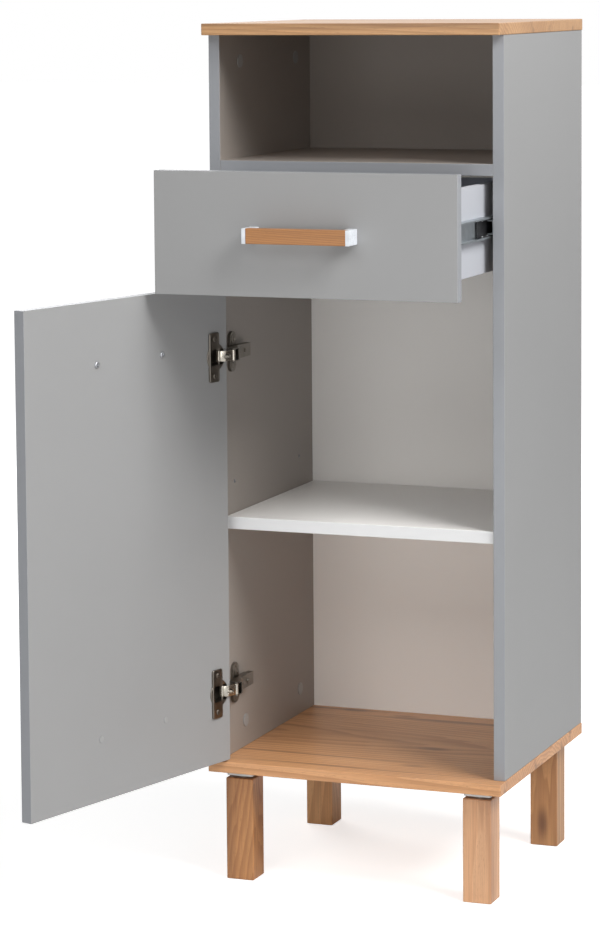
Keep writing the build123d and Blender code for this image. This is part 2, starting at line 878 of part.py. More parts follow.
def link_bend_points():
    """The bent link's middle line beside the shut door's drawing, from arm pin to cup pin."""
    face = front_back_face
    knee = Vector(door_edge + 1.5, face + 3.4, 0)
    crest = Vector(door_edge + 8.8, face + 2.3, 0)
    return [seen_from_door(arm_pin), knee, crest, cup_pin_shut]


def outer_link(z):
    points = link_bend_points()
    strip = upright(strip_outline(points, link_thickness), z, link_width)
    slot_outline = strip_outline([points[0] * 0.55 + points[1] * 0.45, points[1], points[2]], 3 * link_thickness)
    strip = strip - upright(slot_outline, z, link_slot_width)
    for end, eye, pin in ((points[0], link_arm_eye, arm_pin_radius), (points[-1], link_cup_eye, cup_pin_radius)):
        strip = strip + upright(Pos(end.X, end.Y) * Circle(eye), z, link_width)
        strip = strip - upright(Pos(end.X, end.Y) * Circle(pin + running_air), z, link_width + 1)
    return swing_open(strip)


def inner_link(z):
    points = link_bend_points()
    heading = bearing(points[1] - points[0]) - door_opening
    tip = polar(inner_pin, inner_link_reach, heading)
    strip = upright(strip_outline([inner_pin, tip], link_thickness), z, inner_link_width)
    eye = upright(Pos(inner_pin.X, inner_pin.Y) * Circle(inner_link_eye), z, inner_link_width)
    bore = upright(Pos(inner_pin.X, inner_pin.Y) * Circle(arm_pin_radius + running_air), z, link_width)
    return strip + eye - bore


def arm_outline(skin):
    """Half of the arm's side view: its top line drawn in by skin, and its nose."""
    wall = -side_inner
    top = wall + arm_nose_height - skin
    tail = wall + arm_tail_height - skin
    skirt = wall + arm_skirt
    nose = arm_pin.Y
    body = Polygon(
        (skirt, nose + 3.5), (inner_pin.X, inner_pin.Y - arm_nose_radius + 0.4),
        (arm_pin.X, nose), (top, nose + 1), (top, nose + arm_flat),
        (tail, nose + arm_flat + arm_slope), (tail, nose + arm_length), (skirt, nose + arm_length),
        align=None,
    )
    return body + Pos(arm_pin.X, arm_pin.Y) * Circle(arm_nose_radius)


def arm_screw_points(z):
    top = -side_inner + arm_tail_height
    return [(top, arm_pin.Y + place, z) for place in (arm_screw_front, arm_screw_back)]


def hinge_arm(z):
    inside = link_width / 2 + arm_air
    outside = inside + arm_metal
    arm = upright(arm_outline(0), z, 2 * outside)
    arm = arm - upright(arm_outline(arm_metal), z, 2 * inside)
    front = arm_pin.Y + arm_flat - 3
    mouth = block(-side_inner, -side_inner + arm_nose_height + 5, arm_pin.Y - 10, front,
                  z - inside, z + inside)
    arm = arm - mouth
    below = block(-side_inner - 1, -side_inner + arm_skirt - 0.01, arm_pin.Y, arm_pin.Y + arm_length + 1,
                  z - inside, z + inside)
    arm = arm - below
    tail = block(-side_inner - 1, -side_inner + arm_tail_height - arm_metal,
                 arm_pin.Y + arm_flat + arm_slope, arm_pin.Y + arm_length + 1, z - inside, z + inside)
    arm = arm - tail
    for pin in (arm_pin, inner_pin):
        arm = arm - upright(Pos(pin.X, pin.Y) * Circle(arm_pin_radius + running_air), z, 2 * outside + 2)
    for x, y, height in arm_screw_points(z):
        arm = arm - rod((x - 5, y, height), (1, 0, 0), arm_screw_radius * 0.6 + fit_air, 10)
    return arm


def arm_pins(z):
    length = link_width + 2 * (arm_air + arm_metal)
    return [rod((pin.X, pin.Y, z - length / 2), (0, 0, 1), arm_pin_radius, length) for pin in (arm_pin, inner_pin)]


def arm_screws(z):
    reach = arm_metal + seat_air + 3
    return [
        screw(point, (-1, 0, 0), arm_screw_radius * 0.6, reach, arm_screw_radius, arm_screw_height)
        for point in arm_screw_points(z)
    ]


def hinge_plate(z):
    wall = -side_inner
    y = hinge_plate_y()
    half = plate_width / 2
    wings = block(wall, wall + plate_thickness, y - half, y + half,
                  z - plate_height / 2, z + plate_height / 2)
    wings = fillet(wings.edges().filter_by(Axis.X), half - 0.5)
    saddle_top = wall + arm_tail_height - arm_metal - seat_air
    y0 = y - saddle_ahead
    saddle = block(wall, saddle_top, y0, y0 + saddle_length, z - saddle_width / 2, z + saddle_width / 2)
    plate = wings + saddle
    for dz in (-plate_screw_offset, plate_screw_offset):
        boss = rod((wall, y, z + dz), (1, 0, 0), plate_boss_radius, plate_boss_height)
        plate = plate + boss
    holes = []
    for dz in (-plate_screw_offset, plate_screw_offset):
        start = (wall - 1, y, z + dz)
        holes.append(rod(start, (1, 0, 0), plate_screw_radius + fit_air, plate_boss_height + 2))
        seat = wall + plate_boss_height - plate_screw_head_height
        holes.append(rod((seat, y, z + dz), (1, 0, 0), plate_screw_head_radius + fit_air, 10))
    for point in arm_screw_points(z):
        start = (saddle_top + 1, point[1], point[2])
        holes.append(rod(start, (-1, 0, 0), arm_screw_radius * 0.6 + fit_air, 5))
    return cut(plate, holes)


def plate_screws(z):
    seat = -side_inner + plate_boss_height - plate_screw_head_height
    length = plate_screw_length + plate_boss_height - plate_screw_head_height - hole_air
    return [
        screw((seat, hinge_plate_y(), z + dz), (-1, 0, 0), plate_screw_radius, length,
              plate_screw_head_radius, plate_screw_head_height)
        for dz in (-plate_screw_offset, plate_screw_offset)
    ]


# Gather every piece under its name, in the pose shown

def carcass_nodes():
    cams = [joint for joint in joints_at("top", "base", "shelf") if isinstance(joint, CamJoint)]
    dowels = [joint for joint in joints_at("top", "base", "shelf") if isinstance(joint, DowelJoint)]
    centres = leg_centres()
    nodes = {
        "top_panel": top_panel(),
        "base_panel": base_panel(),
        "side_panel_left": side_panel("left"),
        "side_panel_right": side_panel("right"),
        "niche_shelf": niche_shelf(),
        "niche_back_panel": niche_back_panel(),
        "lower_back_panel": lower_back_panel(),
        "adjustable_shelf": adjustable_shelf(),
        "shelf_pins": [shelf_pin(sign, y) for sign in side_signs.values() for y in (pin_front, pin_back)],
        "cam_locks": [joint.cam() for joint in cams],
        "cam_bolts": [joint.bolt() for joint in cams],
        "cam_caps": [joint.cap() for joint in cams],
        "dowels": [joint.dowel() for joint in dowels],
        "leg_plates": [leg_plate(x, y) for x, y in centres.values()],
        "leg_bolts": [leg_bolt(x, y) for x, y in centres.values()],
        "leg_plate_screws": [
            leg_screw(sx, sy) for x, y in centres.values() for sx, sy in leg_screw_places(x, y)
        ],
    }
    for (row, side), (x, y) in centres.items():
        nodes[f"leg_{row}_{side}"] = leg(x, y)
    return nodes


def drawer_nodes():
    z = drawer_handle_z()
    joints = [joint for group in drawer_joints.values() for joint in group]
    signs = side_signs.values()
    nodes = {
        "drawer_front": drawer_front(),
        "drawer_side_left": drawer_side("left"),
        "drawer_side_right": drawer_side("right"),
        "drawer_back": drawer_back(),
        "drawer_bottom": drawer_bottom(),
        "drawer_cam_locks": [joint.cam() for joint in joints],
        "drawer_cam_bolts": [joint.bolt() for joint in joints],
        "drawer_back_screws": [drawer_back_screw(sign, h) for sign in signs for h in back_screw_heights()],
        "drawer_handle_bar": handle_bar(0, z),
        "drawer_handle_posts": [handle_post(0, z, sign) for sign in signs],
        "drawer_handle_screws": handle_screws(0, z),
        "slide_drawer_rail_left": drawer_rail("left"),
        "slide_drawer_rail_right": drawer_rail("right"),
        "slide_drawer_screws": [piece for sign in signs for piece in drawer_rail_screws(sign)],
    }
    return moved_forward(nodes, drawer_shown)


def slide_nodes():
    signs = side_signs.values()
    fixed = {
        "slide_cabinet_rail_left": cabinet_rail("left"),
        "slide_cabinet_rail_right": cabinet_rail("right"),
        "slide_cabinet_screws": [piece for sign in signs for piece in cabinet_rail_screws(sign)],
    }
    rolling = {
        "slide_cage_left": slide_cage("left"),
        "slide_cage_right": slide_cage("right"),
        "slide_balls": [ball for sign in signs for ball in slide_ball_set(sign)],
    }
    return fixed | moved_forward(rolling, drawer_shown / 2)


def moved_forward(nodes, distance):
    shift = Pos(0, -distance, 0)
    moved = {}
    for name, shape in nodes.items():
        moved[name] = [shift * piece for piece in shape] if isinstance(shape, list) else shift * shape
    return moved


def door_nodes():
    heights = hinge_heights.values()
    z = door_handle_z()
    shut = {
        "door_panel": door_panel(),
        "door_handle_bar": handle_bar(0, z),
        "door_handle_posts": [handle_post(0, z, sign) for sign in side_signs.values()],
        "door_handle_screws": handle_screws(0, z),
        "door_hole_plugs": [hole_plug(p) for p in handle_screw_points(0, spare_hole_z(), front_back_face)],
        "hinge_cup_upper": hinge_cup(hinge_heights["upper"]),
        "hinge_cup_lower": hinge_cup(hinge_heights["lower"]),
        "hinge_cup_pins": [cup_pin(height) for height in heights],
        "hinge_cup_screws": [piece for height in heights for piece in cup_screws(height)],
    }
    shown = {}
    for name, shape in shut.items():
        shown[name] = [swing_open(piece) for piece in shape] if isinstance(shape, list) else swing_open(shape)
    return shown


def hinge_nodes():
    heights = hinge_heights.values()
    nodes = {
        "hinge_inner_links": [inner_link(height) for height in heights],
        "hinge_arm_pins": [pin for height in heights for pin in arm_pins(height)],
        "hinge_arm_screws": [piece for height in heights for piece in arm_screws(height)],
        "hinge_plate_screws": [piece for height in heights for piece in plate_screws(height)],
    }
    for place, height in hinge_heights.items():
        nodes[f"hinge_outer_link_{place}"] = outer_link(height)
        nodes[f"hinge_arm_{place}"] = hinge_arm(height)
        nodes[f"hinge_plate_{place}"] = hinge_plate(height)
    return nodes


def as_shape(item):
    return Compound(children=item) if isinstance(item, list) else item


def main():
    nodes = carcass_nodes() | drawer_nodes() | slide_nodes() | door_nodes() | hinge_nodes()
    shapes = {name: as_shape(item) for name, item in nodes.items()}
    lows = [shape.bounding_box().min for shape in shapes.values()]
    highs = [shape.bounding_box().max for shape in shapes.values()]
    middle_x = (min(p.X for p in lows) + max(p.X for p in highs)) / 2
    middle_y = (min(p.Y for p in lows) + max(p.Y for p in highs)) / 2
    home = Pos(-middle_x, -middle_y, 0)
    os.makedirs("parts", exist_ok=True)
    for name, shape in shapes.items():
        export_step(home * shape, f"parts/{name}.step")
    print("nodes", len(shapes))
    print("moved to its origin by", round(-middle_x, 3), round(-middle_y, 3))
    print("cup pin", cup_pin_shown - Vector(middle_x, middle_y, 0))
    print("arm pin", arm_pin - Vector(middle_x, middle_y, 0))
    print("inner pin", inner_pin - Vector(middle_x, middle_y, 0))
    print("link swing", round(link_swing, 3), "ball radius", round(fitted_ball_radius(), 3))


main()
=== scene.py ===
# %% [markdown]
# # A bathroom cabinet on oak legs
# The construction comes in as a fixed frame: every board, rail and hinge stands where it
# was designed. This lesson dresses it. The frame's meshes stay and get finishes, while the
# hinge cups and bent links are made again with finer meshes. Everything is in metres, +Z is
# up, and the cabinet's front looks along -Y.

# %% Load the frame
import json
import math

import bmesh
import bpy
from mathutils import Matrix, Vector


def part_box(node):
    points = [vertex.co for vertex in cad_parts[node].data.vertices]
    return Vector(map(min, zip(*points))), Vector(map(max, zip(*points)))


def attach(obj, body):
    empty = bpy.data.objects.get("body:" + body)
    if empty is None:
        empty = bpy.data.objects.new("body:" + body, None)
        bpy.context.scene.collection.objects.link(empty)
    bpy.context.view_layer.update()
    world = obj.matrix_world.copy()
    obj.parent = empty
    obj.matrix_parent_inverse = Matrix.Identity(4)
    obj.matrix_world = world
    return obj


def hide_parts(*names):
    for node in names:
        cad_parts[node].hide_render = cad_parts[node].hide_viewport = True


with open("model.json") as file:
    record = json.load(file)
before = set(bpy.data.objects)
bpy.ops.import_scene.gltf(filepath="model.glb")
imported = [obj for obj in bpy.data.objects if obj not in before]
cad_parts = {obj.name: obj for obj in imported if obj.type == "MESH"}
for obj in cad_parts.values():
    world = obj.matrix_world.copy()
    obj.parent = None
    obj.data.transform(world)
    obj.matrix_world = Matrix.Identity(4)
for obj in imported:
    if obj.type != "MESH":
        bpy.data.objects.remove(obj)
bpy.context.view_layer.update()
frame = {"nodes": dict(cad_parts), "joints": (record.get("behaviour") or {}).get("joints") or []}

MM = 0.001

# %% [markdown]
# ## Where things are
# All places are read from the frame, so a fitting always sits on the board that carries it.
# Two helper frames save arithmetic: one for the carcass, with its origin on the floor under
# the middle of the top's front edge, and one for the door. In the door's frame X runs from
# the hinged edge to the free edge, and Y stands off its inner face.

# %% Frames for carcass and door
DOOR_OPENING = math.radians(105)
SWING_CENTRE_IN, SWING_CENTRE_PROUD = 8 * MM, 2.7 * MM


def box(node):
    low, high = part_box(node)
    return low, high


def joint_place(name):
    joint = next(j for j in frame["joints"] if j["name"] == name)
    return Vector(joint["pos_m"])


top_low, top_high = box("top_panel")
home = Matrix.Translation(((top_low.x + top_high.x) / 2, top_low.y, 0))
to_home = home.inverted()
drawer_low, drawer_high = box("drawer_front")
front_width = drawer_high.x - drawer_low.x
front_thickness = drawer_high.y - drawer_low.y
FRONT_SETBACK, FRONT_AIR = 22 * MM, 2 * MM
inner_face_y = FRONT_SETBACK - FRONT_AIR
front_face_y = inner_face_y - front_thickness
drawer_shift = (to_home @ drawer_high).y - inner_face_y

swing_centre = Vector((-front_width / 2 + SWING_CENTRE_IN, front_face_y - SWING_CENTRE_PROUD, 0))
to_corner = Matrix.Translation((-front_width / 2, inner_face_y, 0))
about_centre = Matrix.Translation(swing_centre)
turn_open = about_centre @ Matrix.Rotation(-DOOR_OPENING, 4, "Z") @ about_centre.inverted()
door_place = home @ turn_open @ to_corner
hinge_heights = {
    place: sum((v.z for v in box(f"hinge_cup_{place}")), 0.0) / 2 for place in ("upper", "lower")
}
print("drawer is out by", round(-drawer_shift, 4), "m; hinges at", hinge_heights)

# %% [markdown]
# ## Camera
# A product photograph of a tall cabinet is taken from chest height with a long lens, and
# the lens is shifted down so that upright edges stay nearly upright. A small shift with a
# slight downward tilt gives the same look and still works when the camera goes round.

# %% Camera
LENS_PIXELS, PICTURE_HEIGHT = 3225.0, 925.0
SENSOR = 36.0
camera_data = bpy.data.cameras.new("camera")
camera_data.sensor_width = SENSOR
camera_data.lens = LENS_PIXELS / PICTURE_HEIGHT * SENSOR
camera_data.shift_y = -0.2
camera_data.clip_end = 100
camera = bpy.data.objects.new("camera", camera_data)
bpy.context.scene.collection.objects.link(camera)
bpy.context.scene.camera = camera

yaw, tilt, lean = (math.radians(a) for a in (21.17, 5.29, -0.42))
look = Vector((-math.sin(yaw) * math.cos(tilt), math.cos(yaw) * math.cos(tilt), -math.sin(tilt)))
level = Vector((math.cos(yaw), math.sin(yaw), 0))
upward = level.cross(look)
right = level * math.cos(lean) + upward * math.sin(lean)
above = upward * math.cos(lean) - level * math.sin(lean)
aim = Matrix((right, above, -look)).transposed().to_4x4()
camera.matrix_world = home @ Matrix.Translation((1.411, -3.815, 1.176)) @ aim
print("lens", round(camera_data.lens, 1), "mm")

# %% [markdown]
# ## Studio
# The main soft lamp hangs high to the cabinet's right, so the top keeps it out of the niche.
# A lamp high in front and a weak one near the floor reach into the compartment, and one
# behind keeps the back readable when the camera goes round. The surroundings look white to
# the camera and to shiny metal but give little even light, so the open spaces stay dark. The
# floor is lifted to white for the camera only, less near the cabinet, to keep its shadow.

# %% Lamps
def soft_lamp(name, place, target, size, watts, tint=(1, 1, 1)):
    lamp = bpy.data.lights.new(name, "AREA")
    lamp.shape = "RECTANGLE"
    lamp.size, lamp.size_y = size
    lamp.energy = watts
    lamp.color = tint
    holder = bpy.data.objects.new(name, lamp)
    bpy.context.scene.collection.objects.link(holder)
    holder.location = place
    holder.rotation_mode = "QUATERNION"
    holder.rotation_quaternion = (Vector(target) - Vector(place)).to_track_quat("-Z", "Y")
    return holder


soft_lamp("key_lamp", (2.6, -0.9, 3.2), (0, 0, 0.5), (1.8, 1.8), 152)
soft_lamp("front_lamp", (-0.3, -3.4, 3.0), (0, 0, 0.5), (2.4, 1.6), 43)
soft_lamp("low_lamp", (0.1, -3.8, 0.65), (0, 0, 0.55), (3.0, 1.1), 26)
soft_lamp("side_lamp", (2.4, -2.9, 1.6), (0, 0, 0.6), (1.8, 2.0), 12)
soft_lamp("back_lamp", (-2.6, 2.8, 2.2), (0, 0, 0.5), (2.4, 2.4), 55)

# %% Node bench
COLOUR, VALUE, VECTOR = "NodeSocketColor", "NodeSocketFloat", "NodeSocketVector"


class Bench:
    """Puts nodes into one node tree and links them."""

    def __init__(self, tree):
        self.tree = tree

    def add(self, kind, inputs=None, **settings):
        node = self.tree.nodes.new(kind)
        for key, value in settings.items():
            setattr(node, key, value)
        for key, value in (inputs or {}).items():
            self.feed(node.inputs[key], value)
        return node

    def feed(self, socket, value):
        if isinstance(value, bpy.types.NodeSocket):
            self.tree.links.new(value, socket)
        else:
            socket.default_value = value

    def math(self, operation, *values, clamp=False):
        inputs = dict(enumerate(values))
        return self.add("ShaderNodeMath", inputs, operation=operation, use_clamp=clamp).outputs[0]

    def vector(self, operation, *values):
        node = self.add("ShaderNodeVectorMath", dict(enumerate(values)), operation=operation)
        return node.outputs["Value" if operation in ("DOT_PRODUCT", "LENGTH", "DISTANCE") else "Vector"]

    def noise(self, vector, detail=2.0, rough=0.5, warp=0.0):
        inputs = {"Vector": vector, "Scale": 1.0, "Detail": detail, "Roughness": rough, "Distortion": warp}
        return self.add("ShaderNodeTexNoise", inputs).outputs["Fac"]

    def step(self, value, low, high, to_low=0.0, to_high=1.0):
        inputs = {0: value, 1: low, 2: high, 3: to_low, 4: to_high}
        node = self.add("ShaderNodeMapRange", inputs, interpolation_type="SMOOTHSTEP")
        return node.outputs[0]

    def mix(self, share, first, second, blend="MIX"):
        node = self.add("ShaderNodeMix", data_type="RGBA", blend_type=blend)
        for key, value in ((0, share), (6, first), (7, second)):
            self.feed(node.inputs[key], value)
        return node.outputs[2]

    def group(self, group, inputs):
        node = self.add("ShaderNodeGroup", node_tree=group)
        for key, value in inputs.items():
            self.feed(node.inputs[key], value)
        return node


def new_group(name, inputs, outputs):
    """An empty node group with named sockets, and its two ends."""
    group = bpy.data.node_groups.new(name, "ShaderNodeTree")
    for label, kind, default in inputs:
        socket = group.interface.new_socket(name=label, in_out="INPUT", socket_type=kind)
        socket.default_value = default
    for label, kind in outputs:
        group.interface.new_socket(name=label, in_out="OUTPUT", socket_type=kind)
    bench = Bench(group)
    return bench, bench.add("NodeGroupInput").outputs, bench.add("NodeGroupOutput").inputs


def srgb(red, green, blue):
    """A colour as a screen shows it, 0 to 255, made linear for the shader."""
    def linear(c):
        c = c / 255
        return c / 12.92 if c <= 0.04045 else ((c + 0.055) / 1.055) ** 2.4
    return (linear(red), linear(green), linear(blue), 1.0)


def new_material(name):
    material = bpy.data.materials.new(name)
    material.use_nodes = True
    material.node_tree.nodes.clear()
    return material, Bench(material.node_tree)


# %% Floor and surroundings
AMBIENT = 0.06
FLOOR_LIFT, FAR_LIFT = 0.68, 1.0
FLOOR_SIZE = 60.0


def build_floor():
    mesh = bpy.data.meshes.new("floor")
    work = bmesh.new()
    bmesh.ops.create_grid(work, x_segments=1, y_segments=1, size=FLOOR_SIZE / 2)
    work.to_mesh(mesh)
    work.free()
    floor = bpy.data.objects.new("floor", mesh)
    bpy.context.scene.collection.objects.link(floor)
    floor.location.z = -0.0005
    material, bench = new_material("pale_floor")
    seen = bench.add("ShaderNodeLightPath").outputs["Is Camera Ray"]
    away = bench.vector("LENGTH", bench.add("ShaderNodeTexCoord").outputs["Object"])
    lift = bench.math("MULTIPLY", seen, bench.step(away, 0.5, 2.2, FLOOR_LIFT, FAR_LIFT))
    plain = bench.add("ShaderNodeBsdfDiffuse", {"Color": (0.8, 0.8, 0.8, 1)})
    glow = bench.add("ShaderNodeEmission", {"Strength": lift})
    both = bench.add("ShaderNodeAddShader", {0: plain.outputs[0], 1: glow.outputs[0]})
    bench.add("ShaderNodeOutputMaterial", {"Surface": both.outputs[0]})
    mesh.materials.append(material)
    return floor


def build_world():
    world = bpy.data.worlds.new("studio")
    bpy.context.scene.world = world
    world.use_nodes = True
    world.node_tree.nodes.clear()
    bench = Bench(world.node_tree)
    path = bench.add("ShaderNodeLightPath").outputs
    shiny = bench.math("MAXIMUM", path["Is Glossy Ray"], path["Is Transmission Ray"])
    white = bench.math("MAXIMUM", path["Is Camera Ray"], shiny)
    even = bench.add("ShaderNodeBackground", {"Color": (1, 1, 1, 1), "Strength": AMBIENT})
    bright = bench.add("ShaderNodeBackground", {"Color": (1, 1, 1, 1), "Strength": 1.0})
    mixed = bench.add("ShaderNodeMixShader", {0: white, 1: even.outputs[0], 2: bright.outputs[0]})
    bench.add("ShaderNodeOutputWorld", {"Surface": mixed.outputs[0]})


build_floor()
build_world()
bpy.context.scene.view_settings.view_transform = "Standard"
print("floor and surroundings are white to the camera")

# %% [markdown]
# ## Laminate
# The grey and white boards are chipboard under a matt melamine foil. Seen close, the foil
# has a fine pebbled print and a slow drift in tone. The narrow faces carry a plastic edge
# band that is a little cooler. The grey faces turned inward get a warmer tone, which is
# painted warm bounce light, and the sharp corners are painted lighter in broken patches, as a
# painted highlight. One group makes the pebble, one tells narrow faces from broad ones, and
# one finds the corners by comparing the true normal with a rounded one.

# %% Groups that boards share
def group_foil():
    bench, given, put = new_group(
        "foil_pebble",
        [("Colour", COLOUR, (0.5, 0.5, 0.5, 1)), ("Drift", VALUE, 0.04), ("Gloss", VALUE, 0.42)],
        [("Colour", COLOUR), ("Roughness", VALUE), ("Height", VALUE)],
    )
    place = bench.add("ShaderNodeTexCoord").outputs["Object"]
    pebble = bench.noise(bench.vector("MULTIPLY", place, (1500, 1500, 1500)), 2.0, 0.55)
    cloud = bench.noise(bench.vector("MULTIPLY", place, (5, 5, 5)), 3.0, 0.5)
    both = bench.math("ADD", bench.math("MULTIPLY", cloud, 0.7), bench.math("MULTIPLY", pebble, 0.3))
    spread = bench.math("SUBTRACT", both, 0.5)
    amount = bench.math("ADD", bench.math("MULTIPLY", spread, given["Drift"]), 1.0)
    grey = bench.add("ShaderNodeCombineColor", {0: amount, 1: amount, 2: amount}).outputs[0]
    bench.feed(put["Colour"], bench.mix(1.0, given["Colour"], grey, "MULTIPLY"))
    grain = bench.math("MULTIPLY", bench.math("SUBTRACT", pebble, 0.5), 0.12)
    bench.feed(put["Roughness"], bench.math("ADD", given["Gloss"], grain))
    bench.feed(put["Height"], pebble)
    return bench.tree


def group_narrow_face():
    bench, given, put = new_group(
        "narrow_face", [("Broad Axis", VECTOR, (0, 0, 1))], [("Mask", VALUE)],
    )
    facing = bench.add("ShaderNodeTexCoord").outputs["Normal"]
    along = bench.math("ABSOLUTE", bench.vector("DOT_PRODUCT", facing, given["Broad Axis"]))
    bench.feed(put["Mask"], bench.step(along, 0.55, 0.75, 1.0, 0.0))
    return bench.tree


def group_corner():
    bench, given, put = new_group(
        "painted_edge_highlight",
        [("Radius", VALUE, 0.0008), ("Breakup", VALUE, 0.5)],
        [("Mask", VALUE), ("Normal", VECTOR)],
    )
    rounded = bench.add("ShaderNodeBevel", {"Radius": given["Radius"]}, samples=4).outputs[0]
    true_normal = bench.add("ShaderNodeNewGeometry").outputs["True Normal"]
    turned = bench.math("SUBTRACT", 1.0, bench.vector("DOT_PRODUCT", rounded, true_normal))
    # The mask marks sharp corners for a painted highlight, broken into patches by noise; the rounded normal bends the
    # shading as a real rounded edge would.
    mask = bench.step(turned, 0.01, 0.25)
    place = bench.add("ShaderNodeTexCoord").outputs["Object"]
    patchy = bench.step(bench.noise(bench.vector("MULTIPLY", place, (60, 60, 60)), 3.0, 0.6), 0.3, 0.7)
    highlight_gap = bench.math("SUBTRACT", 1.0, patchy)
    kept = bench.math("SUBTRACT", 1.0, bench.math("MULTIPLY", given["Breakup"], highlight_gap))
    bench.feed(put["Mask"], bench.math("MULTIPLY", mask, kept))
    bench.feed(put["Normal"], rounded)
    return bench.tree


foil_pebble = group_foil()
narrow_face = group_narrow_face()
painted_edge_highlight = group_corner()
print("groups:", [g.name for g in bpy.data.node_groups])


# %% Laminate for one board
def laminate(name, face, band, axis, gloss=0.42, highlight_share=0.22, inner=None, toward=(0, 0, 0)):
    """A foiled board: face colour, edge band, painted warm bounce light on the faces turned inward, and a painted
    highlight on sharp corners.
    """
    material, bench = new_material(name)
    narrow = bench.group(narrow_face, {"Broad Axis": axis}).outputs["Mask"]
    corner = bench.group(painted_edge_highlight, {"Radius": 0.9 * MM, "Breakup": 0.6}).outputs
    facing = bench.vector("DOT_PRODUCT", bench.add("ShaderNodeTexCoord").outputs["Normal"], toward)
    # The inner tone is painted warm bounce light, laid on the faces turned toward the inside.
    tone = bench.mix(bench.step(facing, 0.5, 0.8), face, inner or face)
    tone = bench.mix(narrow, tone, band)
    foil = bench.group(foil_pebble, {"Colour": tone, "Drift": 0.06, "Gloss": gloss}).outputs
    # Painted highlight: sharp corners are mixed toward a pale grey.
    share = bench.math("MULTIPLY", corner["Mask"], highlight_share)
    colour = bench.mix(share, foil["Colour"], (0.9, 0.9, 0.9, 1))
    bump = bench.add("ShaderNodeBump", {
        "Height": foil["Height"], "Strength": 0.12, "Distance": 0.00005, "Normal": corner["Normal"],
    })
    skin = bench.add("ShaderNodeBsdfPrincipled", {
        "Base Color": colour, "Roughness": foil["Roughness"], "Normal": bump.outputs[0],
        "Specular IOR Level": 0.35,
    })
    bench.add("ShaderNodeOutputMaterial", {"Surface": skin.outputs[0]})
    return material


def dress(node, material):
    """Gives a frame node a finish in place of its plain one."""
    slots = frame["nodes"][node].data.materials
    slots.clear()
    slots.append(material)


ALONG_X, ALONG_Y, ALONG_Z = (1, 0, 0), (0, 1, 0), (0, 0, 1)
door_outward = tuple(door_place.to_3x3() @ Vector((0, 1, 0)))
# The third grey is painted warm bounce light for the faces turned inward.
GREY, GREY_BAND, GREY_PAINTED_BOUNCE = srgb(152, 152, 152), srgb(150, 152, 156), srgb(152, 144, 137)
WHITE, WHITE_BAND = srgb(249, 246, 242), srgb(226, 226, 226)
COOL_WHITE, COOL_BAND = srgb(184, 186, 192), srgb(206, 208, 213)

for node, axis, toward in (
    ("side_panel_left", ALONG_X, (1, 0, 0)), ("side_panel_right", ALONG_X, (-1, 0, 0)),
    ("niche_shelf", ALONG_Z, (0, 0, 1)), ("niche_back_panel", ALONG_Y, (0, -1, 0)),
    ("drawer_front", ALONG_Y, (0, 0, 0)), ("door_panel", door_outward, (0, 0, 0)),
):
    dress(node, laminate(f"grey_laminate_{node}", GREY, GREY_BAND, axis, inner=GREY_PAINTED_BOUNCE, toward=toward))
for node, axis in (("adjustable_shelf", ALONG_Z), ("lower_back_panel", ALONG_Y)):
    dress(node, laminate(f"white_laminate_{node}", WHITE, WHITE_BAND, axis))
for node, axis in (
    ("drawer_side_left", ALONG_X), ("drawer_side_right", ALONG_X),
    ("drawer_back", ALONG_Y), ("drawer_bottom", ALONG_Z),
):
    dress(node, laminate(f"drawer_laminate_{node}", COOL_WHITE, COOL_BAND, axis))
print("laminated boards:", sum("laminate" in m.name for m in bpy.data.materials))

# %% [markdown]
# ## Oak
# The top and base are boards with an oak face and a lengthwise grain, the legs are solid
# with an upright grain, and the handle bars are narrow strips. Oak's look comes from four
# things at different scales: growth rings cut at a slant, which give arches and long lines;
# slow streaks of darker heartwood; fine fibres; and short dark pores. Legs and base also get
# a few dark knots. The group takes
# coordinates whose X runs along the grain, so one recipe serves every board.

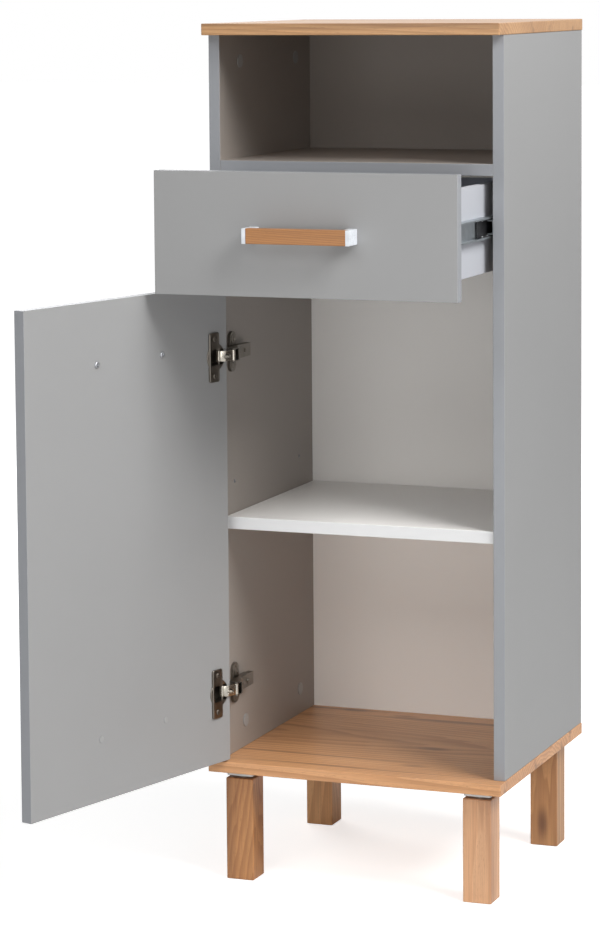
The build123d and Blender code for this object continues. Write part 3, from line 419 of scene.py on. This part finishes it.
# %% Oak group
def group_oak():
    bench, given, put = new_group(
        "oak_figure",
        [
            ("Vector", VECTOR, (0, 0, 0)), ("Pale", COLOUR, srgb(200, 158, 118)),
            ("Deep", COLOUR, srgb(160, 116, 78)), ("Streak", COLOUR, srgb(112, 78, 54)),
            ("Streaks", VALUE, 0.5), ("Ring Width", VALUE, 0.006), ("Wander", VALUE, 0.012),
            ("Pith Depth", VALUE, 0.05), ("Slant", VALUE, 0.04), ("Knots", VALUE, 0.0),
        ],
        [("Colour", COLOUR), ("Roughness", VALUE), ("Height", VALUE)],
    )
    place = given["Vector"]
    slow = bench.noise(bench.vector("MULTIPLY", place, (2.2, 16, 16)), 3.0, 0.55, 0.4)
    split = bench.add("ShaderNodeSeparateXYZ", {0: place}).outputs
    sway = bench.math("MULTIPLY", bench.math("SUBTRACT", slow, 0.5), given["Wander"])
    across = bench.math("ADD", split["Y"], sway)
    deep = bench.math("ADD", split["Z"], given["Pith Depth"])
    deep = bench.math("ADD", deep, bench.math("MULTIPLY", split["X"], given["Slant"]))
    deep = bench.math("ADD", deep, bench.math("MULTIPLY", sway, 1.5))
    squares = bench.math("ADD", bench.math("MULTIPLY", across, across), bench.math("MULTIPLY", deep, deep))
    radius = bench.math("SQRT", squares)
    uneven = bench.noise(bench.vector("MULTIPLY", place, (3, 60, 60)), 2.0, 0.5)
    turns = bench.math("ADD", bench.math("DIVIDE", radius, given["Ring Width"]), uneven)
    ring = bench.math("FRACT", turns)
    late = bench.math("MULTIPLY", bench.step(ring, 0.15, 0.9), bench.step(ring, 1.0, 0.93))
    fibre = bench.noise(bench.vector("MULTIPLY", place, (14, 1300, 1300)), 2.0, 0.6)
    band = bench.noise(bench.vector("MULTIPLY", place, (1.2, 34, 34)), 3.0, 0.6, 0.6)
    pore = bench.noise(bench.vector("MULTIPLY", place, (130, 2600, 2600)), 1.0, 0.5)
    open_pore = bench.math("MULTIPLY", bench.step(pore, 0.60, 0.72), bench.step(ring, 0.45, 0.05, 0.25, 1.0))
    slow_part = bench.math("MULTIPLY", bench.step(slow, 0.3, 0.7), 0.45)
    depth = bench.math("ADD", bench.math("MULTIPLY", late, 0.55), slow_part)
    wood = bench.mix(depth, given["Pale"], given["Deep"])
    streaky = bench.math("MULTIPLY", bench.step(band, 0.56, 0.72), given["Streaks"])
    wood = bench.mix(streaky, wood, given["Streak"])
    cells = bench.vector("MULTIPLY", place, (6, 17, 17))
    spots = bench.add("ShaderNodeTexVoronoi", {"Vector": cells, "Scale": 1.0}).outputs
    knot = bench.math("MULTIPLY", bench.step(spots["Distance"], 0.04, 0.2, 1.0, 0.0), given["Knots"])
    wood = bench.mix(knot, wood, given["Streak"])
    shade = bench.step(fibre, 0.25, 0.75, 0.86, 1.08)
    grey = bench.add("ShaderNodeCombineColor", {0: shade, 1: shade, 2: shade}).outputs[0]
    wood = bench.mix(1.0, wood, grey, "MULTIPLY")
    wood = bench.mix(bench.math("MULTIPLY", open_pore, 0.5), wood, given["Streak"])
    bench.feed(put["Colour"], wood)
    bench.feed(put["Roughness"], bench.math("ADD", 0.40, bench.math("MULTIPLY", fibre, 0.16)))
    bench.feed(put["Height"], bench.math("SUBTRACT", bench.math("MULTIPLY", fibre, 0.4), open_pore))
    return bench.tree


oak_figure = group_oak()


def oak(name, turn, shift, pale, deep, streak, streaks=0.5, ring=0.006, wander=0.012,
        pith=0.05, slant=0.04, highlight_share=0.25, knots=0.0):
    """Oak whose grain follows the X axis after the object's own axes are turned."""
    material, bench = new_material(name)
    place = bench.add("ShaderNodeTexCoord").outputs["Object"]
    grain = bench.add("ShaderNodeMapping", {"Vector": place, "Rotation": turn, "Location": shift})
    figure = bench.group(oak_figure, {
        "Vector": grain.outputs[0], "Pale": pale, "Deep": deep, "Streak": streak,
        "Streaks": streaks, "Ring Width": ring, "Wander": wander, "Pith Depth": pith, "Slant": slant,
        "Knots": knots,
    }).outputs
    corner = bench.group(painted_edge_highlight, {"Radius": 1.2 * MM, "Breakup": 0.7}).outputs
    # Painted highlight: sharp corners are mixed toward the pale tone.
    share = bench.math("MULTIPLY", corner["Mask"], highlight_share)
    colour = bench.mix(share, figure["Colour"], pale)
    bump = bench.add("ShaderNodeBump", {
        "Height": figure["Height"], "Strength": 0.25, "Distance": 0.00012, "Normal": corner["Normal"],
    })
    skin = bench.add("ShaderNodeBsdfPrincipled", {
        "Base Color": colour, "Roughness": figure["Roughness"], "Normal": bump.outputs[0],
        "Specular IOR Level": 0.5, "Coat Weight": 0.35, "Coat Roughness": 0.25,
    })
    bench.add("ShaderNodeOutputMaterial", {"Surface": skin.outputs[0]})
    return material


QUARTER = math.pi / 2
# The top's tones are set darker and the base's lighter, so that each renders as bright as seen under these lamps:
# painted shade on the top and painted light on the base.
TOP_TONES = (srgb(200, 154, 106), srgb(166, 120, 76), srgb(104, 70, 44))
BASE_TONES = (srgb(224, 168, 118), srgb(184, 130, 84), srgb(108, 70, 44))
BAR_TONES = (srgb(180, 124, 70), srgb(150, 98, 50), srgb(108, 66, 32))
# Each leg has its own tones. The front left leg's darker tones are painted shade, and the front right leg's lighter
# tones are painted light from the right-hand lamp.
LEG_TONES_WITH_PAINTED_LIGHT = {
    "leg_front_left": (srgb(190, 134, 82), srgb(152, 98, 54), srgb(100, 58, 32)),
    "leg_front_right": (srgb(230, 182, 140), srgb(206, 154, 112), srgb(150, 98, 64)),
    "leg_back_left": (srgb(226, 176, 124), srgb(194, 142, 94), srgb(124, 80, 48)),
    "leg_back_right": (srgb(196, 146, 96), srgb(152, 104, 64), srgb(92, 54, 32)),
}
dress("top_panel", oak("oak_top", (0, 0, 0), (0.31, 0.02, -1.105), *TOP_TONES, streaks=0.55))
dress("base_panel", oak("oak_base", (0, 0, 0), (0.83, -0.19, -0.13), *BASE_TONES, streaks=0.75, knots=0.7))
for step, (node, tones) in enumerate(LEG_TONES_WITH_PAINTED_LIGHT.items()):
    shift = (0.37 * step, 0.11 * step + 0.02, 0.07 * step)
    dress(node, oak(f"oak_{node}", (0, QUARTER, 0), shift, *tones, streaks=0.5,
                    ring=0.009, wander=0.035, slant=0.12, highlight_share=0.35, knots=0.8))
for node, name, turn, shift in (
    ("drawer_handle_bar", "oak_drawer_bar", (0, 0, 0), (0.2, 0.1, 0)),
    ("door_handle_bar", "oak_door_bar", (0, 0, DOOR_OPENING), (0.5, 0.3, 0)),
):
    dress(node, oak(name, turn, shift, *BAR_TONES, streaks=0.4, ring=0.003))
print("oak finishes:", sum(m.name.startswith("oak_") for m in bpy.data.materials))

# %% [markdown]
# ## Metal and plastic
# Rails, screws and leg plates are zinc plated, the hinges are nickel plated and darker,
# the cages are black plastic and the handle posts are enamelled. Metals need something to
# show that they are metal: fine drawn marks that change the gloss, and rounded corners that
# pick up the lamps. One group gives the marks to all of them.

# %% Metal and plastic finishes
def group_marks():
    bench, given, put = new_group(
        "drawn_marks",
        [("Stretch", VECTOR, (200, 2500, 2500)), ("Gloss", VALUE, 0.3), ("Spread", VALUE, 0.15)],
        [("Roughness", VALUE), ("Height", VALUE), ("Tone", VALUE)],
    )
    place = bench.add("ShaderNodeTexCoord").outputs["Object"]
    marks = bench.noise(bench.vector("MULTIPLY", place, given["Stretch"]), 3.0, 0.6)
    blotch = bench.noise(bench.vector("MULTIPLY", place, (70, 70, 70)), 2.0, 0.5)
    uneven = bench.math("MULTIPLY", bench.math("SUBTRACT", marks, 0.5), given["Spread"])
    bench.feed(put["Roughness"], bench.math("ADD", given["Gloss"], uneven))
    bench.feed(put["Height"], marks)
    bench.feed(put["Tone"], bench.step(blotch, 0.25, 0.75, 0.9, 1.06))
    return bench.tree


drawn_marks = group_marks()


def finish(name, colour, metallic, gloss, spread=0.15, stretch=(200, 2500, 2500), round_by=0.4,
           highlight_share=0.0):
    """Metal, plastic or enamel with drawn marks and rounded corners, whose radius is in mm."""
    material, bench = new_material(name)
    marks = bench.group(drawn_marks, {"Stretch": stretch, "Gloss": gloss, "Spread": spread}).outputs
    corner = bench.group(painted_edge_highlight, {"Radius": round_by * MM, "Breakup": 0.4}).outputs
    level = marks["Tone"]
    tone = bench.add("ShaderNodeCombineColor", {0: level, 1: level, 2: level}).outputs[0]
    colour = bench.mix(1.0, colour, tone, "MULTIPLY")
    # Painted highlight: sharp corners are mixed toward a pale grey by the given share; only the enamel has one.
    share = bench.math("MULTIPLY", corner["Mask"], highlight_share)
    colour = bench.mix(share, colour, (0.9, 0.9, 0.9, 1))
    bump = bench.add("ShaderNodeBump", {
        "Height": marks["Height"], "Strength": 0.1, "Distance": 0.00003, "Normal": corner["Normal"],
    })
    skin = bench.add("ShaderNodeBsdfPrincipled", {
        "Base Color": colour, "Metallic": metallic, "Roughness": marks["Roughness"],
        "Normal": bump.outputs[0],
    })
    bench.add("ShaderNodeOutputMaterial", {"Surface": skin.outputs[0]})
    return material


EVEN = (900, 900, 900)
zinc = finish("zinc_plate", srgb(196, 198, 202), 1.0, 0.34)
nickel = finish("dark_nickel", srgb(128, 122, 114), 1.0, 0.30)
bright_nickel = finish("bright_nickel", srgb(196, 190, 178), 1.0, 0.26)
rail_zinc = finish("rail_zinc", srgb(176, 182, 186), 1.0, 0.38, stretch=(2500, 120, 2500))
cast_zinc = finish("cast_zinc", srgb(150, 150, 152), 1.0, 0.5, stretch=EVEN)
bracket_steel = finish("bracket_steel", srgb(188, 184, 180), 1.0, 0.42)
black_plastic = finish("black_plastic", srgb(28, 28, 30), 0.0, 0.45, stretch=EVEN)
grey_plastic = finish("grey_plastic", srgb(160, 160, 160), 0.0, 0.45, stretch=EVEN)
enamel = finish("white_enamel", srgb(222, 226, 232), 0.0, 0.28, 0.08, EVEN, 0.6, 0.3)
beech = oak("beech_dowel", (0, 0, 0), (0, 0, 0), srgb(214, 170, 126), srgb(196, 150, 108), srgb(150, 104, 70))

for node in (
    "leg_plate_screws", "leg_bolts", "slide_cabinet_screws", "slide_drawer_screws",
    "drawer_back_screws", "drawer_handle_screws", "door_handle_screws", "cam_bolts", "drawer_cam_bolts",
    "shelf_pins", "slide_balls",
):
    dress(node, zinc)
for node in (
    "hinge_cup_upper", "hinge_cup_lower", "hinge_arm_upper", "hinge_arm_lower", "hinge_plate_upper",
    "hinge_plate_lower", "hinge_inner_links", "hinge_arm_pins", "hinge_cup_pins", "hinge_cup_screws",
    "hinge_plate_screws", "hinge_arm_screws",
):
    dress(node, nickel)
for node in ("hinge_outer_link_upper", "hinge_outer_link_lower"):
    dress(node, bright_nickel)
for node in (
    "slide_cabinet_rail_left", "slide_cabinet_rail_right",
    "slide_drawer_rail_left", "slide_drawer_rail_right",
):
    dress(node, rail_zinc)
for node in ("slide_cage_left", "slide_cage_right"):
    dress(node, black_plastic)
for node in ("cam_locks", "drawer_cam_locks"):
    dress(node, cast_zinc)
for node in ("cam_caps", "door_hole_plugs"):
    dress(node, grey_plastic)
for node in ("drawer_handle_posts", "door_handle_posts"):
    dress(node, enamel)
dress("dowels", beech)
dress("leg_plates", bracket_steel)
undressed = [
    name for name, node in frame["nodes"].items()
    if not any(m and m.node_tree and len(m.node_tree.nodes) > 6 for m in node.data.materials)
]
print("nodes still plain:", undressed)

# %% [markdown]
# ## Hinge cups and links
# The cup of a concealed hinge is pressed from sheet: a round pot with a rolled rim, a thick
# tall flange that holds its screws, and a mouth just wide enough for the arm. The bent link
# is bright, with a half-moon punched out of it and a tongue left lying in the opening, flat
# so that it clears the inner link when the door is shut. Both are made
# as lofts, rings of points joined by faces, and the mouth and the half-moon are cut out with
# Boolean modifiers, as a press tool would.

# %% Lofts and cuts
def settle(work, sharp=35):
    """A finished mesh from working geometry, smooth except at sharp edges."""
    bmesh.ops.recalc_face_normals(work, faces=work.faces)
    mesh = bpy.data.meshes.new("fitting")
    work.to_mesh(mesh)
    work.free()
    mesh.shade_smooth()
    mesh.set_sharp_from_angle(angle=math.radians(sharp))
    return mesh


def loft(rings):
    """Joins closed rings of points into a solid and closes both its ends."""
    work = bmesh.new()
    rows = [[work.verts.new(point) for point in ring] for ring in rings]
    count = len(rows[0])
    for low, high in zip(rows, rows[1:]):
        for k in range(count):
            after = (k + 1) % count
            work.faces.new((low[k], low[after], high[after], high[k]))
    work.faces.new(rows[0][::-1])
    work.faces.new(rows[-1])
    return settle(work)


def rounded_outline(width, height, radius, steps=6):
    """Corner-rounded rectangle about the origin, as X and Y pairs."""
    points = []
    for turn, (sx, sy) in enumerate(((1, 1), (-1, 1), (-1, -1), (1, -1))):
        for k in range(steps + 1):
            angle = (turn + k / steps) * math.pi / 2
            points.append((sx * (width / 2 - radius) + radius * math.cos(angle),
                           sy * (height / 2 - radius) + radius * math.sin(angle)))
    return points


def rounded_slab(width, height, low, high, radius, ease):
    """A slab between two heights, with rounded corners and eased edges."""
    rings = []
    for k in range(4):
        angle = k / 3 * math.pi / 2
        rings.append((ease * (1 - math.sin(angle)), low + ease * (1 - math.cos(angle))))
    rings += [(inset, low + high - z) for inset, z in reversed(rings)]
    return loft([
        [(x, y, z) for x, y in rounded_outline(width - 2 * inset, height - 2 * inset, radius - inset)]
        for inset, z in rings
    ])


def turned(profile, steps=48):
    """A turned solid from radius and height pairs whose ends lie on the axis."""
    inner = profile[1:-1]
    rings = [[(r * math.cos(a), r * math.sin(a), z) for a in (math.tau * k / steps for k in range(steps))]
             for r, z in inner]
    return loft(rings)


def cut_out(mesh, cutter):
    """The mesh with the cutter's shape taken out of it."""
    body = bpy.data.objects.new("body", mesh)
    tool = bpy.data.objects.new("tool", cutter)
    for thing in (body, tool):
        bpy.context.scene.collection.objects.link(thing)
    cut = body.modifiers.new("cut", "BOOLEAN")
    cut.object = tool
    cut.operation = "DIFFERENCE"
    cut.solver = "EXACT"
    bpy.context.view_layer.update()
    result = bpy.data.meshes.new_from_object(body.evaluated_get(bpy.context.evaluated_depsgraph_get()))
    for thing in (body, tool):
        bpy.data.objects.remove(thing)
    result.shade_smooth()
    result.set_sharp_from_angle(angle=math.radians(35))
    return result


def gather(name, parts):
    """One object from meshes and the places they stand at."""
    work = bmesh.new()
    for mesh, place in parts:
        moved = mesh.copy()
        moved.transform(place)
        work.from_mesh(moved)
    whole = bpy.data.meshes.new(name)
    work.to_mesh(whole)
    work.free()
    whole.shade_smooth()
    whole.set_sharp_from_angle(angle=math.radians(35))
    piece = bpy.data.objects.new(name, whole)
    bpy.context.scene.collection.objects.link(piece)
    return piece


def stand_in(piece, node, body, material):
    piece.data.materials.clear()
    piece.data.materials.append(material)
    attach(piece, body)
    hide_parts(node)


# %% Cups
CUP_CENTRE, CUP_RADIUS, CUP_DEPTH = 23.5 * MM, 17.5 * MM, 11.5 * MM
FLANGE_WIDTH, FLANGE_HEIGHT, FLANGE_THICKNESS = 20 * MM, 64 * MM, 3 * MM
FLANGE_CENTRE = 28.5 * MM
MOUTH_START, MOUTH_END, MOUTH_HEIGHT = 8 * MM, 37 * MM, 20.6 * MM


# X stays, the slab's Y runs down the door and its Z stands off the door
FACE_UP = Matrix(((1, 0, 0, 0), (0, 0, 1, 0), (0, -1, 0, 0), (0, 0, 0, 1)))


def build_cup(place):
    flange = rounded_slab(FLANGE_WIDTH, FLANGE_HEIGHT, 0, FLANGE_THICKNESS, 3 * MM, 0.9 * MM)
    rim, top = CUP_RADIUS + 0.5 * MM, 1.5 * MM
    pot = turned([
        (0, -CUP_DEPTH), (CUP_RADIUS - 1.5 * MM, -CUP_DEPTH), (CUP_RADIUS, -CUP_DEPTH + 1.5 * MM),
        (CUP_RADIUS, 0), (rim, 0), (rim, top - 0.8 * MM), (rim - 0.4 * MM, top - 0.25 * MM),
        (rim - 1.1 * MM, top), (rim - 2.2 * MM, top - 0.1 * MM), (rim - 3 * MM, top - 0.6 * MM), (0, top),
    ])
    mouth = rounded_slab(MOUTH_END - MOUTH_START, MOUTH_HEIGHT, -CUP_DEPTH + 1 * MM, 9 * MM, 3 * MM, 0.3 * MM)
    middle = (MOUTH_START + MOUTH_END) / 2
    pot = cut_out(pot, shifted(mouth, middle - CUP_CENTRE))
    flange = cut_out(flange, shifted(mouth, middle - FLANGE_CENTRE))
    # The slabs lie in XY, so they are turned to stand on the door's inner face
    stand = door_place @ Matrix.Translation((0, 0, hinge_heights[place])) @ FACE_UP
    piece = gather(f"cup_{place}", [
        (flange, stand @ Matrix.Translation((FLANGE_CENTRE, 0, 0))),
        (pot, stand @ Matrix.Translation((CUP_CENTRE, 0, 0))),
    ])
    stand_in(piece, f"hinge_cup_{place}", "door", nickel)
    return piece


def shifted(mesh, along):
    moved = mesh.copy()
    moved.transform(Matrix.Translation((along, 0, 0)))
    return moved


cups = [build_cup(place) for place in hinge_heights]
print("cups:", [(c.name, len(c.data.polygons)) for c in cups])

# %% Bent links
LINK_WIDTH, LINK_THICKNESS = 14 * MM, 1.5 * MM
MOON_LENGTH, MOON_HEIGHT = 10.5 * MM, 5.4 * MM
TONGUE_HALF = 0.35 * MM
door_pin, wall_pin = joint_place("door_hinge"), joint_place("hinge_link_swing")


def link_line():
    """The link's bends in plan, from the arm's pin to the cup's."""
    knee, crest = (door_place @ Vector((s * MM, h * MM, 0)) for s, h in ((1.5, 3.4), (8.8, 2.3)))
    points = [Vector((p.x, p.y)) for p in (wall_pin, knee, crest, door_pin)]
    for _ in range(2):
        softer = [points[0]]
        for a, b in zip(points, points[1:]):
            softer += [a.lerp(b, 0.25), a.lerp(b, 0.75)]
        points = softer + [points[-1]]
    return points


def build_link(place):
    height = hinge_heights[place]
    line = link_line()
    rings = []
    section = rounded_outline(LINK_THICKNESS, LINK_WIDTH, 0.45 * MM, 3)
    for k, point in enumerate(line):
        run = (line[min(k + 1, len(line) - 1)] - line[max(k - 1, 0)]).normalized()
        across = Vector((-run.y, run.x))
        rings.append([(*(point + across * t), height + z) for t, z in section])
    strip = loft(rings)
    run = (line[-4] - line[3]).normalized()
    middle = line[3].lerp(line[-4], 0.47)
    along = Vector((run.x, run.y, 0))
    face = along.cross(Vector((0, 0, 1)))
    spot = Matrix((along, Vector((0, 0, 1)), face)).transposed().to_4x4()
    spot.translation = (middle.x, middle.y, height - MOON_HEIGHT / 2)
    arch = [(MOON_LENGTH / 2 * math.cos(a), MOON_HEIGHT * math.sin(a)) for a in (math.pi * k / 16 for k in range(17))]
    moon = loft([[(x, y, z) for x, y in arch] for z in (-4 * MM, 4 * MM)])
    moon.transform(spot)
    strip = cut_out(strip, moon)
    tongue = loft([
        [(x * 0.9, y * 0.55 + 0.1 * MM, z) for x, y in arch] for z in (-TONGUE_HALF, TONGUE_HALF)
    ])
    ear = turned([(0, -LINK_WIDTH / 2), (1.9 * MM, -LINK_WIDTH / 2), (2.3 * MM, -LINK_WIDTH / 2 + 0.4 * MM),
                  (2.3 * MM, LINK_WIDTH / 2 - 0.4 * MM), (1.9 * MM, LINK_WIDTH / 2), (0, LINK_WIDTH / 2)], 24)
    here = Matrix.Identity(4)
    piece = gather(f"link_{place}", [
        (strip, here), (tongue, spot),
        (ear, Matrix.Translation((wall_pin.x, wall_pin.y, height))),
        (ear, Matrix.Translation((door_pin.x, door_pin.y, height))),
    ])
    stand_in(piece, f"hinge_outer_link_{place}", "hinge_outer_links", bright_nickel)
    return piece


links = [build_link(place) for place in hinge_heights]
print("links:", [(p.name, len(p.data.polygons)) for p in links])
